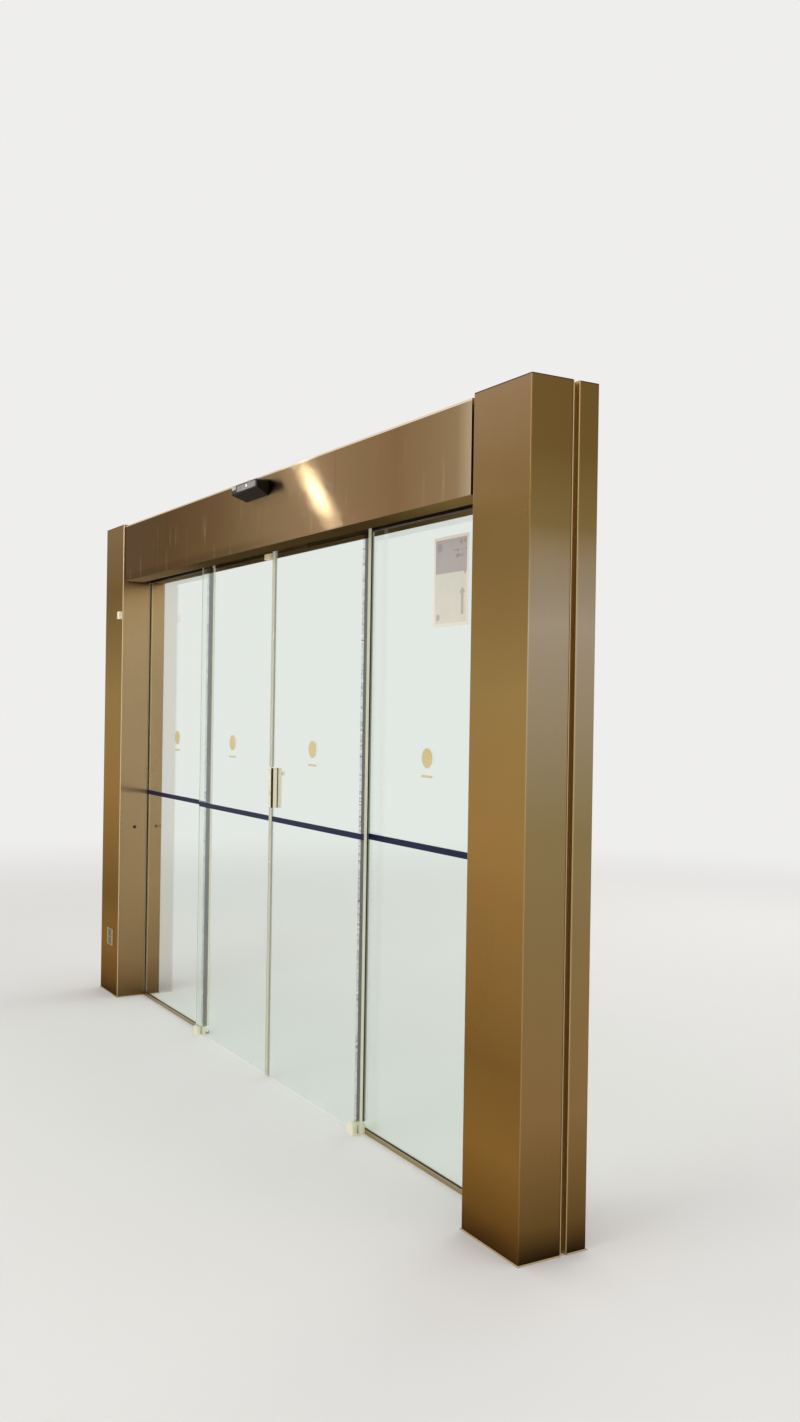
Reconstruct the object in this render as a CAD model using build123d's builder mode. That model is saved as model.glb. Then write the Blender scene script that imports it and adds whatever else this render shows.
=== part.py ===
from build123d import *
import os

# Automatic two-leaf sliding glass entrance door in a stainless portal.
# Millimetres. +X runs along the doorway, +Y goes through it from the front
# to the rear, +Z is up. The origin is on the floor, in the middle of the
# doorway, in the plane of the sliding glass.

# Portal
opening_width = 3320
clear_height = 2200
post_width = 290
post_rise = 8
portal_depth = 240
header_height = 292
header_recess = 6
cover_joint = 20
panel_joint = 1
overrun = 1
sheet = 2
bend_radius = 3.5

# Planes of the glass
glass = 12
fixed_plane_y = 38
groove_width = 24
groove_lip = 40
channel_wall = 3
jamb_channel_depth = 30
gasket_height = 12
glass_edge_gap = 5

# Steel inside the portal
core_size = 120
core_wall = 6
core_y = 15
base_plate_gap = 3
base_plate_thickness = 15
anchor_edge = 20
anchor_radius = 9
cleat_count = 4
cleat_height = 60
cleat_thickness = 16
top_rebate = 30
beam_wall = 5
beam_clearance = 2

# Fixed lites
lite_width = 900
floor_channel_height = 15
head_channel_height = 40
top_channel_height = 26
edge_seal_width = 18
brush_pile_width = 4
brush_gap = 1.5
block_length = 100
block_inset = 150

# Sliding leaves
meeting_gap = 8
leaf_overlap = 53
leaf_bottom = 10
park_gap = 10
post_clearance = 30
seal_wall = 2
seal_nose = 3
seal_grip = 10
soffit_gap = 6
soffit_lip = 12
rail_clearance = 4
leaf_rail_height = 44
leaf_rail_width = 30
leaf_rail_grip = 32

# Track and carriages
track_web = 6
track_web_height = 72
arm_thickness = 10
arm_clearance = 12
bead_radius = 3.5
bead_neck = 5
bead_rise = 10
wheel_radius = 27
wheel_flange = 3
wheel_width = 14
wheel_gap = 0.3
groove_floor = 2.8
groove_lip_land = 1.2
wheel_hub_radius = 11
wheel_recess = 2.5
wheel_ring = 8
axle_radius = 5
axle_clearance = 0.05
retainer_radius = 8
retainer_thickness = 2
carriage_length = 110
carriage_plate = 8
carriage_plate_y = -13
carriage_inset = 146
plate_rounding = 12
carriage_top = 18
foot_thickness = 8
foot_rear_y = 14
shoe_length = 30
shoe_clearance = 1
hanger_bolt_radius = 6
hanger_bolt_head = 5
hanger_bolt_offset = 38
stop_length = 30
stop_drop = 18
stop_gap = 0.5

# Belt drive
belt_width = 12
belt_thickness = 3
belt_y = -2
belt_above_wheel = 3
pulley_radius = 25
pulley_gap = 0.3
pulley_teeth = 24
tooth_gullet = 2.4
tooth_depth = 1.2
pulley_rim = 1.5
rim_radius = 29
pulley_inset = 260
shaft_radius = 6
gearbox_size = 68
gearbox_depth = 60
gearbox_gap = 4
motor_radius = 30
motor_length = 170
bracket_plate = 6
bracket_width = 120
bracket_gap = 4
idler_cheek = 6
idler_cheek_gap = 4
idler_cheek_width = 36
clamp_width = 30
clamp_plate = 6
clamp_jaw = 6
clamp_gap = 0.3
clamp_rear_y = 6
control_length = 320
control_depth = 86
control_x = -320
control_gap = 8
rib_thickness = 4
rib_root_height = 26
rib_nose_height = 14
rib_inset = 100
rib_gap = 40

# Lock at the meeting edge
lock_z = 1216
lock_height = 164
lock_inset = 32
lock_width = 24
lock_cover = 18
lock_edge_gap = 2
lock_grip = 10
lock_side_grip = 2
bolt_height = 20
bolt_thickness = 6
bolt_length = 26
bolt_drop = 24
bolt_gap = 0.3
bolt_chamfer = 1.5
turn_drop = 22
cylinder_radius = 8.5
cylinder_fin_width = 10
cylinder_height = 33
cylinder_proud = 1
cylinder_gap = 0.1
plug_radius = 6
plug_recess = 0.3
key_width = 2.4
key_height = 8
knob_radius = 11
knob_thickness = 3
knob_grip = 12
knob_grip_length = 20
knob_grip_width = 5
keeper_depth = 24
keeper_slot_gap = 1

# Floor guides
guide_length = 48
guide_height = 38
guide_lead = 12
guide_wall = 16.5
guide_gap = 1.5
guide_floor = 6
guide_rounding = 2
guide_screw_radius = 2.2
guide_screw_head = 4.2
guide_screw_spacing = 24

# Things fixed to the portal and the glass
strip_z = 1085
strip_height = 22
strip_gap = 1
film = 0.3
sensor_width = 262
sensor_back_width = 218
sensor_depth = 60
sensor_x = 59
sensor_drop = 90
sensor_back_height = 68
sensor_front_height = 34
sensor_front_rise = 27
sensor_corner = 14
sensor_nose_rounding = 3
window_width = 186
window_offset = 19
window_height = 24
window_inset = 5
window_thickness = 3
photocell_z = 900
photocell_front_y = -38
photocell_rear_y = 90
photocell_radius = 7
photocell_flange = 9
photocell_length = 22
photocell_proud = 1.5
photocell_gap = 0.1
plate_width = 100
plate_height = 90
plate_thickness = 5
plate_corner = 6
plate_offset = 22
plate_z = 304
insert_width = 46
insert_height = 34
insert_pitch = 40
insert_proud = 1
contact_width = 60
contact_height = 24
contact_depth = 12
contact_gap = 1
contact_drop = 5
box_size = 40
box_depth = 18
box_edge = 8
box_z = 2021
notice_width = 210
notice_height = 297
notice_inset = 350
notice_drop = 222

# Worked out from the values above
half_opening = opening_width / 2
half_width = half_opening + post_width
front_y = -portal_depth / 2
rear_y = portal_depth / 2
groove_front = fixed_plane_y - groove_width / 2
groove_rear = fixed_plane_y + groove_width / 2
post_x = half_opening + post_width / 2
header_top = clear_height + header_height
post_height = header_top + post_rise
base_plate_size = 2 * (rear_y - sheet - base_plate_gap - core_y)
anchor_spacing = base_plate_size - 2 * anchor_edge
cover_front = front_y + header_recess
cover_rear = rear_y - header_recess
soffit_edge = -glass / 2 - soffit_gap
beam_bottom = clear_height + head_channel_height
beam_top = header_top - top_rebate
beam_rear = cover_rear - sheet
core_inner_x = post_x - core_size / 2
half_gap = meeting_gap / 2
fixed_lead_x = half_opening - lite_width
leaf_end = fixed_lead_x + leaf_overlap
lock_x = half_gap + lock_edge_gap
lock_near = half_gap + lock_inset
lock_far = lock_near + lock_width
leaf_travel = min(fixed_lead_x - seal_wall - park_gap - lock_far,
                  half_opening - post_clearance - leaf_end)
leaf_rail_bottom = clear_height + soffit_lip + rail_clearance
leaf_rail_top = leaf_rail_bottom + leaf_rail_height
leaf_top = leaf_rail_bottom + leaf_rail_grip
foot_top = leaf_rail_top + foot_thickness
arm_bottom = foot_top + arm_clearance
arm_top = arm_bottom + arm_thickness
bead_top = arm_top + bead_rise
bead_z = bead_top - bead_radius
axle_z = bead_top + wheel_radius
wheel_rim = wheel_radius + wheel_flange
belt_bottom = axle_z + wheel_rim + belt_above_wheel
pulley_x = half_opening - pulley_inset
pulley_z = belt_bottom + belt_thickness + pulley_radius
belt_top = pulley_z + pulley_radius + belt_thickness
shelf_bottom = pulley_z + gearbox_size / 2
bracket_top = beam_top - beam_clearance
gearbox_rear_y = belt_y - belt_width / 2 - pulley_rim - gearbox_gap
carriage_centres = (half_gap + carriage_inset, leaf_end - carriage_inset)
fixed_end_x = half_opening + jamb_channel_depth - channel_wall - glass_edge_gap
fixed_bottom = channel_wall + glass_edge_gap
fixed_top = beam_bottom - channel_wall - glass_edge_gap
plate_front_y = carriage_plate_y - carriage_plate
rib_positions = (control_length / 2 - control_x + rib_gap, half_opening - rib_inset)
sensor_bottom_z = header_top - sensor_drop


def span(a, b):
    """Middle and length of the stretch from a to b."""
    return (a + b) / 2, abs(b - a)


def rect(u, v, mode=Mode.ADD):
    """Rectangle in the current sketch, from its two ranges."""
    (mid_u, size_u), (mid_v, size_v) = span(*u), span(*v)
    with Locations((mid_u, mid_v)):
        Rectangle(size_u, size_v, mode=mode)


def block(x, y, z, mode=Mode.ADD):
    """Cuboid in the current part, from its three ranges."""
    (mid_x, size_x), (mid_y, size_y), (mid_z, size_z) = span(*x), span(*y), span(*z)
    with Locations((mid_x, mid_y, mid_z)):
        Box(size_x, size_y, size_z, mode=mode)


def save(part, name):
    """Label a finished piece and write it."""
    part.label = name
    export_step(part, f"parts/{name}.step")


def hand(side):
    return "left" if side < 0 else "right"


os.makedirs("parts", exist_ok=True)


# Post casings: a folded tray in front of the glass line and another behind it

def post_front(side):
    inner, outer = side * half_opening, side * half_width
    lip = side * groove_lip
    with BuildPart() as casing:
        with BuildSketch(Plane.XY):
            with BuildLine():
                FilletPolyline(
                    (inner + lip, groove_front), (inner, groove_front), (inner, front_y),
                    (outer, front_y), (outer, groove_front), (outer - lip, groove_front),
                    radius=bend_radius)
                offset(amount=sheet, side=Side.LEFT if side > 0 else Side.RIGHT)
            make_face()
        extrude(amount=post_height)
        with BuildSketch(Plane.XY.offset(post_height - sheet)) as top:
            rect((inner, outer), (front_y, groove_front))
            fillet(top.vertices(), radius=bend_radius)
        extrude(amount=sheet)
        with BuildSketch(Plane.YZ.offset(inner)):
            with Locations((photocell_front_y, photocell_z)):
                Circle(photocell_radius + photocell_gap)
        extrude(amount=sheet, both=True, mode=Mode.SUBTRACT)
    save(casing.part, f"{hand(side)}_post_front")


def post_rear(side):
    inner, outer = side * half_opening, side * half_width
    lip = side * groove_lip
    with BuildPart() as casing:
        with BuildSketch(Plane.XY):
            with BuildLine():
                FilletPolyline(
                    (inner + lip, groove_rear), (inner, groove_rear), (inner, rear_y),
                    (outer, rear_y), (outer, groove_rear), (outer - lip, groove_rear),
                    radius=bend_radius)
                offset(amount=sheet, side=Side.RIGHT if side > 0 else Side.LEFT)
            make_face()
        extrude(amount=post_height)
        with BuildSketch(Plane.XY.offset(post_height - sheet)) as top:
            rect((inner, outer), (groove_rear, rear_y))
            fillet(top.vertices(), radius=bend_radius)
        extrude(amount=sheet)
        # The header beam comes in through a notch in the inner side.
        block((inner - side * overrun, inner + lip + side * overrun),
              (groove_rear, beam_rear + beam_clearance),
              (beam_bottom - beam_clearance, beam_top + beam_clearance), Mode.SUBTRACT)
        with BuildSketch(Plane.YZ.offset(inner)):
            with Locations((photocell_rear_y, photocell_z)):
                Circle(photocell_radius + photocell_gap)
        extrude(amount=sheet, both=True, mode=Mode.SUBTRACT)
    save(casing.part, f"{hand(side)}_post_rear")


# Post core: a welded steel post with base plate and cleats for the channels

def post_core(side):
    centre = side * post_x
    half = core_size / 2
    cleat_reach = side * (post_width / 2 - jamb_channel_depth)
    with BuildPart() as core:
        with BuildSketch(Plane.XY):
            with Locations((centre, core_y)):
                Rectangle(base_plate_size, base_plate_size)
                with GridLocations(anchor_spacing, anchor_spacing, 2, 2):
                    Circle(anchor_radius, mode=Mode.SUBTRACT)
        extrude(amount=base_plate_thickness)
        with BuildSketch(Plane.XY.offset(base_plate_thickness)):
            with Locations((centre, core_y)):
                Rectangle(core_size, core_size)
                Rectangle(core_size - 2 * core_wall, core_size - 2 * core_wall, mode=Mode.SUBTRACT)
        extrude(amount=post_height - sheet - base_plate_thickness)
        pitch = clear_height / cleat_count
        for row in range(cleat_count):
            low = pitch * (row + 0.5)
            for way in (-1, 1):
                block((centre + way * half, centre + way * abs(cleat_reach)),
                      (fixed_plane_y - cleat_thickness / 2, fixed_plane_y + cleat_thickness / 2),
                      (low, low + cleat_height))
    save(core.part, f"{hand(side)}_post_core")


# Glazing channels in the posts' grooves, an inner and an outer one each side

def post_channels():
    with BuildPart() as channels:
        for side in (-1, 1):
            for mouth, way, top in ((half_opening, 1, clear_height), (half_width, -1, post_height)):
                with BuildSketch(Plane.XY):
                    x = side * mouth
                    rect((x, x + side * way * jamb_channel_depth), (groove_front, groove_rear))
                    rect((x, x + side * way * (jamb_channel_depth - channel_wall)),
                         (groove_front + channel_wall, groove_rear - channel_wall), Mode.SUBTRACT)
                extrude(amount=top)
    save(channels.part, "post_channels")


# Header: front cover, rear casing, beam and the ribs that carry the cover

def header_cover():
    half = half_opening - cover_joint
    with BuildPart() as cover:
        with BuildSketch(Plane.YZ):
            with BuildLine():
                FilletPolyline(
                    (soffit_edge, clear_height + soffit_lip), (soffit_edge, clear_height),
                    (cover_front, clear_height), (cover_front, header_top),
                    (groove_front, header_top), radius=bend_radius)
                offset(amount=sheet, side=Side.RIGHT)
            make_face()
        extrude(amount=half, both=True)
        for side in (-1, 1):
            with BuildSketch(Plane.YZ.offset(side * half)) as end:
                rect((cover_front, groove_front - track_web), (clear_height, header_top))
                fillet(end.vertices().group_by(Axis.X)[0], radius=bend_radius)
            extrude(amount=-side * sheet)
    save(cover.part, "header_cover")


def header_rear():
    half = half_opening - panel_joint
    with BuildPart() as casing:
        with BuildSketch(Plane.YZ):
            with BuildLine():
                FilletPolyline(
                    (groove_rear, header_top - soffit_lip), (groove_rear, header_top),
                    (cover_rear, header_top), (cover_rear, clear_height),
                    (groove_rear, clear_height), radius=bend_radius)
                offset(amount=sheet, side=Side.RIGHT)
            make_face()
        extrude(amount=half, both=True)
    save(casing.part, "header_rear_casing")


def header_beam():
    with BuildPart() as beam:
        with BuildSketch(Plane.YZ):
            rect((groove_front, beam_rear), (beam_bottom, beam_top))
            rect((groove_front + beam_wall, beam_rear - beam_wall),
                 (beam_bottom + beam_wall, beam_top - beam_wall), Mode.SUBTRACT)
        extrude(amount=core_inner_x, both=True)
    save(beam.part, "header_beam")


def cover_ribs():
    with BuildPart() as ribs:
        for position in rib_positions:
            for side in (-1, 1):
                middle = side * position
                with BuildSketch(Plane.YZ.offset(middle)):
                    with BuildLine():
                        Polyline(
                            (groove_front, header_top - sheet),
                            (cover_front + sheet + bend_radius, header_top - sheet),
                            (cover_front + sheet, header_top - sheet - bend_radius),
                            (cover_front + sheet, header_top - sheet - rib_nose_height),
                            (groove_front, beam_top - rib_root_height), close=True)
                    make_face()
                extrude(amount=rib_thickness / 2, both=True)
    save(ribs.part, "cover_ribs")


def header_channels():
    mouth = (groove_front + channel_wall, groove_rear - channel_wall)
    with BuildPart() as top:
        with BuildSketch(Plane.YZ):
            rect((groove_front, groove_rear), (beam_top, beam_top + top_channel_height))
            rect(mouth, (beam_top + channel_wall, beam_top + top_channel_height), Mode.SUBTRACT)
        extrude(amount=half_opening - panel_joint, both=True)
    save(top.part, "top_glazing_channel")

    with BuildPart() as head:
        for side in (-1, 1):
            with BuildSketch(Plane.YZ.offset(side * fixed_lead_x)):
                rect((groove_front, groove_rear), (clear_height, beam_bottom))
                rect(mouth, (clear_height, beam_bottom - channel_wall), Mode.SUBTRACT)
            extrude(amount=side * (half_opening - panel_joint - fixed_lead_x))
    save(head.part, "head_channels")

    with BuildPart() as floor:
        for side in (-1, 1):
            with BuildSketch(Plane.YZ.offset(side * fixed_lead_x)):
                rect((groove_front, groove_rear), (0, floor_channel_height))
                rect(mouth, (channel_wall, floor_channel_height), Mode.SUBTRACT)
            extrude(amount=side * (half_opening - panel_joint - fixed_lead_x))
    save(floor.part, "floor_channels")


# Fixed lites with their gaskets and the brush seals on their leading edges

def fixed_glass(side):
    face = fixed_plane_y - glass / 2
    with BuildPart() as lite:
        with BuildSketch(Plane.XZ.offset(-face)):
            rect((side * fixed_lead_x, side * fixed_end_x), (fixed_bottom, fixed_top))
        extrude(amount=-glass)
    save(lite.part, f"{hand(side)}_fixed_glass")


def glazing_gaskets():
    start = fixed_lead_x
    stop = half_opening - panel_joint
    with BuildPart() as gaskets:
        for side in (-1, 1):
            for near, far in ((groove_front + channel_wall, fixed_plane_y - glass / 2),
                              (fixed_plane_y + glass / 2, groove_rear - channel_wall)):
                block((side * start, side * stop), (near, far),
                      (channel_wall, floor_channel_height))
                block((side * start, side * stop), (near, far),
                      (clear_height, clear_height + gasket_height))
                block((side * half_opening, side * (half_opening + gasket_height)), (near, far),
                      (fixed_bottom, clear_height - panel_joint))
            # The lite stands on two setting blocks in the floor channel.
            for middle in (fixed_lead_x + block_inset, half_opening - block_inset):
                block((side * (middle - block_length / 2), side * (middle + block_length / 2)),
                      (fixed_plane_y - glass / 2, fixed_plane_y + glass / 2),
                      (channel_wall, fixed_bottom))
    save(gaskets.part, "glazing_gaskets")


def brush_seals():
    edge_y = fixed_plane_y - glass / 2
    with BuildPart() as seals:
        for side in (-1, 1):
            lead = side * fixed_lead_x
            front = side * (fixed_lead_x - seal_wall)
            with BuildSketch(Plane.XY.offset(guide_height)):
                rect((front, front + side * edge_seal_width),
                     (edge_y - seal_wall, edge_y + glass + seal_wall))
                rect((lead, front + side * edge_seal_width), (edge_y, edge_y + glass),
                     Mode.SUBTRACT)
                rect((lead, lead + side * brush_pile_width),
                     (glass / 2 + brush_gap, edge_y - seal_wall))
            extrude(amount=clear_height - panel_joint - guide_height)
    save(seals.part, "brush_seals")


def floor_guide(side):
    start = side * (fixed_lead_x - guide_lead)
    middle = start + side * guide_length / 2
    slot = glass / 2 + guide_gap
    with BuildPart() as guide:
        with BuildSketch(Plane.YZ.offset(start)):
            rect((-slot - guide_wall, groove_front), (0, guide_height))
            rect((-slot, slot), (guide_floor, guide_height), Mode.SUBTRACT)
        extrude(amount=side * guide_length)
        fillet(guide.edges().filter_by(Axis.X).group_by(Axis.Z)[-1], radius=guide_rounding)
        with Locations((middle, 0, guide_floor)):
            with GridLocations(guide_screw_spacing, 0, 2, 1):
                CounterSinkHole(guide_screw_radius, guide_screw_head)
    save(guide.part, f"{hand(side)}_floor_guide")


# Track: an extruded rail screwed to the beam, with a round bead for the wheels

def track_rail():
    with BuildPart() as rail:
        with BuildSketch(Plane.YZ):
            rect((groove_front - track_web, groove_front),
                 (arm_bottom - foot_thickness, arm_bottom - foot_thickness + track_web_height))
            rect((-bead_radius, groove_front), (arm_bottom, arm_top))
            rect((-bead_neck / 2, bead_neck / 2), (arm_top, bead_z))
            with Locations((0, bead_z)):
                Circle(bead_radius)
        extrude(amount=half_opening - cover_joint - sheet - beam_clearance, both=True)
    save(rail.part, "track_rail")


def end_stops():
    open_face = carriage_centres[1] + carriage_length / 2 + leaf_travel + stop_gap
    closed_face = carriage_centres[0] - carriage_length / 2 - stop_gap
    with BuildPart() as stops:
        for side in (-1, 1):
            for face, way in ((open_face, 1), (closed_face, -1)):
                block((side * face, side * (face + way * stop_length)),
                      (bead_neck, groove_front - track_web), (arm_bottom - stop_drop, arm_bottom))
    save(stops.part, "end_stops")


# Drive: geared motor, idler, belt and the control unit on the beam

def drive_pulley():
    front = belt_y - belt_width / 2
    rear = belt_y + belt_width / 2
    drum = pulley_radius - pulley_gap
    with BuildPart() as pulley:
        with BuildSketch(Plane.XZ.offset(-rear)):
            with Locations((pulley_x, pulley_z)):
                Circle(drum)
                with PolarLocations(drum, pulley_teeth):
                    Rectangle(2 * tooth_depth, tooth_gullet, mode=Mode.SUBTRACT)
        extrude(amount=belt_width)
        for start in (rear + pulley_rim, front):
            with BuildSketch(Plane.XZ.offset(-start)):
                with Locations((pulley_x, pulley_z)):
                    Circle(rim_radius)
            extrude(amount=pulley_rim)
        with BuildSketch(Plane.XZ.offset(-front)):
            with Locations((pulley_x, pulley_z)):
                Circle(shaft_radius)
        extrude(amount=pulley_rim + gearbox_gap + gearbox_depth / 2)
    save(pulley.part, "drive_pulley")


def idler_pulley():
    front = belt_y - belt_width / 2
    rear = belt_y + belt_width / 2
    with BuildPart() as pulley:
        with BuildSketch(Plane.XZ.offset(-rear)):
            with Locations((-pulley_x, pulley_z)):
                Circle(pulley_radius - pulley_gap)
        extrude(amount=belt_width)
        for start in (rear + pulley_rim, front):
            with BuildSketch(Plane.XZ.offset(-start)):
                with Locations((-pulley_x, pulley_z)):
                    Circle(rim_radius)
            extrude(amount=pulley_rim)
        with BuildSketch(Plane.XZ.offset(-rear - pulley_rim)):
            with Locations((-pulley_x, pulley_z)):
                Circle(axle_radius + axle_clearance)
        extrude(amount=belt_width + 2 * pulley_rim, mode=Mode.SUBTRACT)
    save(pulley.part, "idler_pulley")


def drive_motor():
    rear = gearbox_rear_y
    half = gearbox_size / 2
    motor_y = rear - gearbox_depth / 2
    with BuildPart() as motor:
        block((pulley_x - half, pulley_x + half), (rear - gearbox_depth, rear),
              (pulley_z - half, pulley_z + half))
        with BuildSketch(Plane.YZ.offset(pulley_x + half)):
            with Locations((motor_y, pulley_z)):
                Circle(motor_radius)
        extrude(amount=motor_length)
        chamfer(motor.faces().sort_by(Axis.X)[-1].edges(), length=beam_clearance)
        with BuildSketch(Plane.XZ.offset(-rear)):
            with Locations((pulley_x, pulley_z)):
                Circle(shaft_radius + axle_clearance)
        extrude(amount=gearbox_depth / 2 + pulley_gap, mode=Mode.SUBTRACT)
    save(motor.part, "drive_motor")


def motor_bracket():
    front = gearbox_rear_y - gearbox_depth
    web_rear = groove_front
    with BuildPart() as bracket:
        with BuildSketch(Plane.YZ.offset(pulley_x - bracket_width / 2)):
            rect((front, web_rear), (shelf_bottom, shelf_bottom + bracket_plate))
            rect((web_rear - bracket_plate, web_rear), (shelf_bottom, bracket_top))
        extrude(amount=bracket_width)
    save(bracket.part, "motor_bracket")


def idler_bracket():
    rims_front = belt_y - belt_width / 2 - pulley_rim
    rims_rear = belt_y + belt_width / 2 + pulley_rim
    front = rims_front - idler_cheek_gap - idler_cheek
    rear = rims_rear + idler_cheek_gap + idler_cheek
    half = idler_cheek_width / 2
    with BuildPart() as bracket:
        with BuildSketch(Plane.YZ.offset(-pulley_x - bracket_width / 2)):
            rect((front, groove_front), (shelf_bottom, shelf_bottom + bracket_plate))
            rect((groove_front - bracket_plate, groove_front), (shelf_bottom, bracket_top))
        extrude(amount=bracket_width)
        for near in (front, rear - idler_cheek):
            block((-pulley_x - half, -pulley_x + half), (near, near + idler_cheek),
                  (pulley_z - half, shelf_bottom))
        with BuildSketch(Plane.XZ.offset(-rear)):
            with Locations((-pulley_x, pulley_z)):
                Circle(axle_radius)
        extrude(amount=rear - front)
    save(bracket.part, "idler_bracket")


def drive_belt():
    rear = belt_y + belt_width / 2
    with BuildPart() as belt:
        with BuildSketch(Plane.XZ.offset(-rear)):
            with Locations((0, pulley_z)):
                SlotCenterToCenter(2 * pulley_x, 2 * (pulley_radius + belt_thickness))
                SlotCenterToCenter(2 * pulley_x, 2 * pulley_radius, mode=Mode.SUBTRACT)
        extrude(amount=belt_width)
    save(belt.part, "drive_belt")


def control_unit():
    with BuildPart() as unit:
        block((control_x - control_length / 2, control_x + control_length / 2),
              (groove_front - control_depth, groove_front),
              (belt_top + control_gap, header_top - sheet - control_gap))
        fillet(unit.edges().filter_by(Axis.X).group_by(Axis.Y)[0], radius=bend_radius)
    save(unit.part, "control_unit")


# Sliding leaf: glass, clamp rail, carriages, seal, strip and belt clamp

def leaf_glass(side):
    cut = lock_far - lock_side_grip - half_gap if side > 0 else keeper_depth
    with BuildPart() as pane:
        with BuildSketch(Plane.XZ.offset(glass / 2)):
            rect((side * half_gap, side * leaf_end), (leaf_bottom, leaf_top))
            rect((side * half_gap, side * (half_gap + cut)),
                 (lock_z - lock_height / 2 + lock_grip, lock_z + lock_height / 2 - lock_grip),
                 Mode.SUBTRACT)
        extrude(amount=-glass)
    save(pane.part, f"{hand(side)}_leaf_glass")


def leaf_rail(side):
    half = leaf_rail_width / 2
    with BuildPart() as rail:
        with BuildSketch(Plane.YZ.offset(side * half_gap)):
            rect((-half, half), (leaf_rail_bottom, leaf_rail_top))
            rect((-glass / 2, glass / 2), (leaf_rail_bottom, leaf_top), Mode.SUBTRACT)
        extrude(amount=side * (leaf_end - half_gap))
    save(rail.part, f"{hand(side)}_leaf_rail")


def carriages(side):
    half = carriage_length / 2
    axle_end = wheel_width / 2 + wheel_gap + retainer_thickness
    with BuildPart() as pair:
        for centre in carriage_centres:
            x = side * centre
            with BuildSketch(Plane.YZ.offset(x - half)) as angle:
                rect((plate_front_y, foot_rear_y), (leaf_rail_top, foot_top))
                rect((plate_front_y, carriage_plate_y), (leaf_rail_top, axle_z + carriage_top))
            extrude(amount=carriage_length)
            # Under the rail's arm a shoe keeps the wheels from lifting off.
            with BuildSketch(Plane.YZ.offset(x - shoe_length / 2)):
                rect((carriage_plate_y, bead_neck / 2), (foot_top, arm_bottom - shoe_clearance))
            extrude(amount=shoe_length)
            with BuildSketch(Plane.XY.offset(foot_top)):
                with Locations((x, 0)):
                    with GridLocations(2 * hanger_bolt_offset, 0, 2, 1):
                        RegularPolygon(hanger_bolt_radius, 6)
            extrude(amount=hanger_bolt_head)
            for start, end, radius in (
                    (carriage_plate_y, -wheel_width / 2 - wheel_gap, retainer_radius),
                    (carriage_plate_y, axle_end, axle_radius),
                    (axle_end - retainer_thickness, axle_end, retainer_radius)):
                with BuildSketch(Plane.XZ.offset(-start)):
                    with Locations((x, axle_z)):
                        Circle(radius)
                extrude(amount=start - end)
        shoulders = pair.edges().filter_by(Axis.Y).group_by(Axis.Z)[-1]
        fillet(shoulders, radius=plate_rounding)
    save(pair.part, f"{hand(side)}_carriages")


def leaf_wheel(side, centre, place):
    x = side * centre
    tread = axle_z + wheel_radius
    mouth = wheel_width / 2 - groove_lip_land
    with BuildPart() as wheel:
        with BuildSketch(Plane.YZ.offset(x)):
            rect((-wheel_width / 2, wheel_width / 2),
                 (axle_z + axle_radius + axle_clearance, axle_z + wheel_rim))
            with BuildLine():
                Polyline((-groove_floor, tread), (groove_floor, tread), (mouth, axle_z + wheel_rim),
                         (-mouth, axle_z + wheel_rim), close=True)
            make_face(mode=Mode.SUBTRACT)
            for way in (-1, 1):
                rect((way * wheel_width / 2, way * (wheel_width / 2 - wheel_recess)),
                     (axle_z + wheel_hub_radius, axle_z + wheel_rim - wheel_ring), Mode.SUBTRACT)
        revolve(axis=Axis((x, 0, axle_z), (0, 1, 0)))
    save(wheel.part, f"{hand(side)}_{place}_wheel")


def belt_clamp(side):
    """The left leaf hangs on the belt's lower run, the right one on the upper."""
    inner = carriage_centres[0] - carriage_length / 2
    run = belt_bottom if side < 0 else belt_top - belt_thickness
    front = plate_front_y - clamp_plate
    with BuildPart() as clamp:
        with BuildSketch(Plane.YZ.offset(side * inner)):
            rect((front, plate_front_y), (foot_top, run + belt_thickness + clamp_jaw))
            rect((front, clamp_rear_y), (run - clamp_jaw, run + belt_thickness + clamp_jaw))
            rect((belt_y - belt_width / 2 - clamp_gap, clamp_rear_y),
                 (run - clamp_gap, run + belt_thickness + clamp_gap), Mode.SUBTRACT)
        extrude(amount=side * clamp_width)
    save(clamp.part, f"{hand(side)}_belt_clamp")


def edge_seal(side):
    """Clear plastic seal on the meeting edge, left out behind the lock."""
    half = glass / 2 + seal_wall
    nose = side * (half_gap - seal_nose)
    with BuildPart() as seal:
        with BuildSketch(Plane.XY.offset(leaf_bottom)):
            rect((nose, side * (half_gap + seal_grip)), (-half, half))
            rect((side * half_gap, side * (half_gap + seal_grip)), (-glass / 2, glass / 2),
                 Mode.SUBTRACT)
        extrude(amount=leaf_rail_bottom - leaf_bottom)
        block((nose - side * overrun, side * (half_gap + seal_grip + overrun)), (-half, half),
              (lock_z - lock_height / 2 - lock_edge_gap, lock_z + lock_height / 2 + lock_edge_gap),
              Mode.SUBTRACT)
    save(seal.part, f"{hand(side)}_edge_seal")


def leaf_strip(side):
    face = -glass / 2
    with BuildPart() as strip:
        block((side * (half_gap + seal_grip + strip_gap), side * leaf_end), (face - film, face),
              (strip_z - strip_height / 2, strip_z + strip_height / 2))
    save(strip.part, f"{hand(side)}_leaf_strip")


def fixed_strips():
    face = fixed_plane_y - glass / 2
    start = fixed_lead_x + edge_seal_width
    with BuildPart() as strips:
        for side in (-1, 1):
            block((side * start, side * (half_opening - panel_joint)), (face - film, face),
                  (strip_z - strip_height / 2, strip_z + strip_height / 2))
    save(strips.part, "fixed_strips")


# Lock: a case let into the right leaf, covers, cylinder, bolt and turn, and
# the keeper in the left leaf's edge

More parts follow.
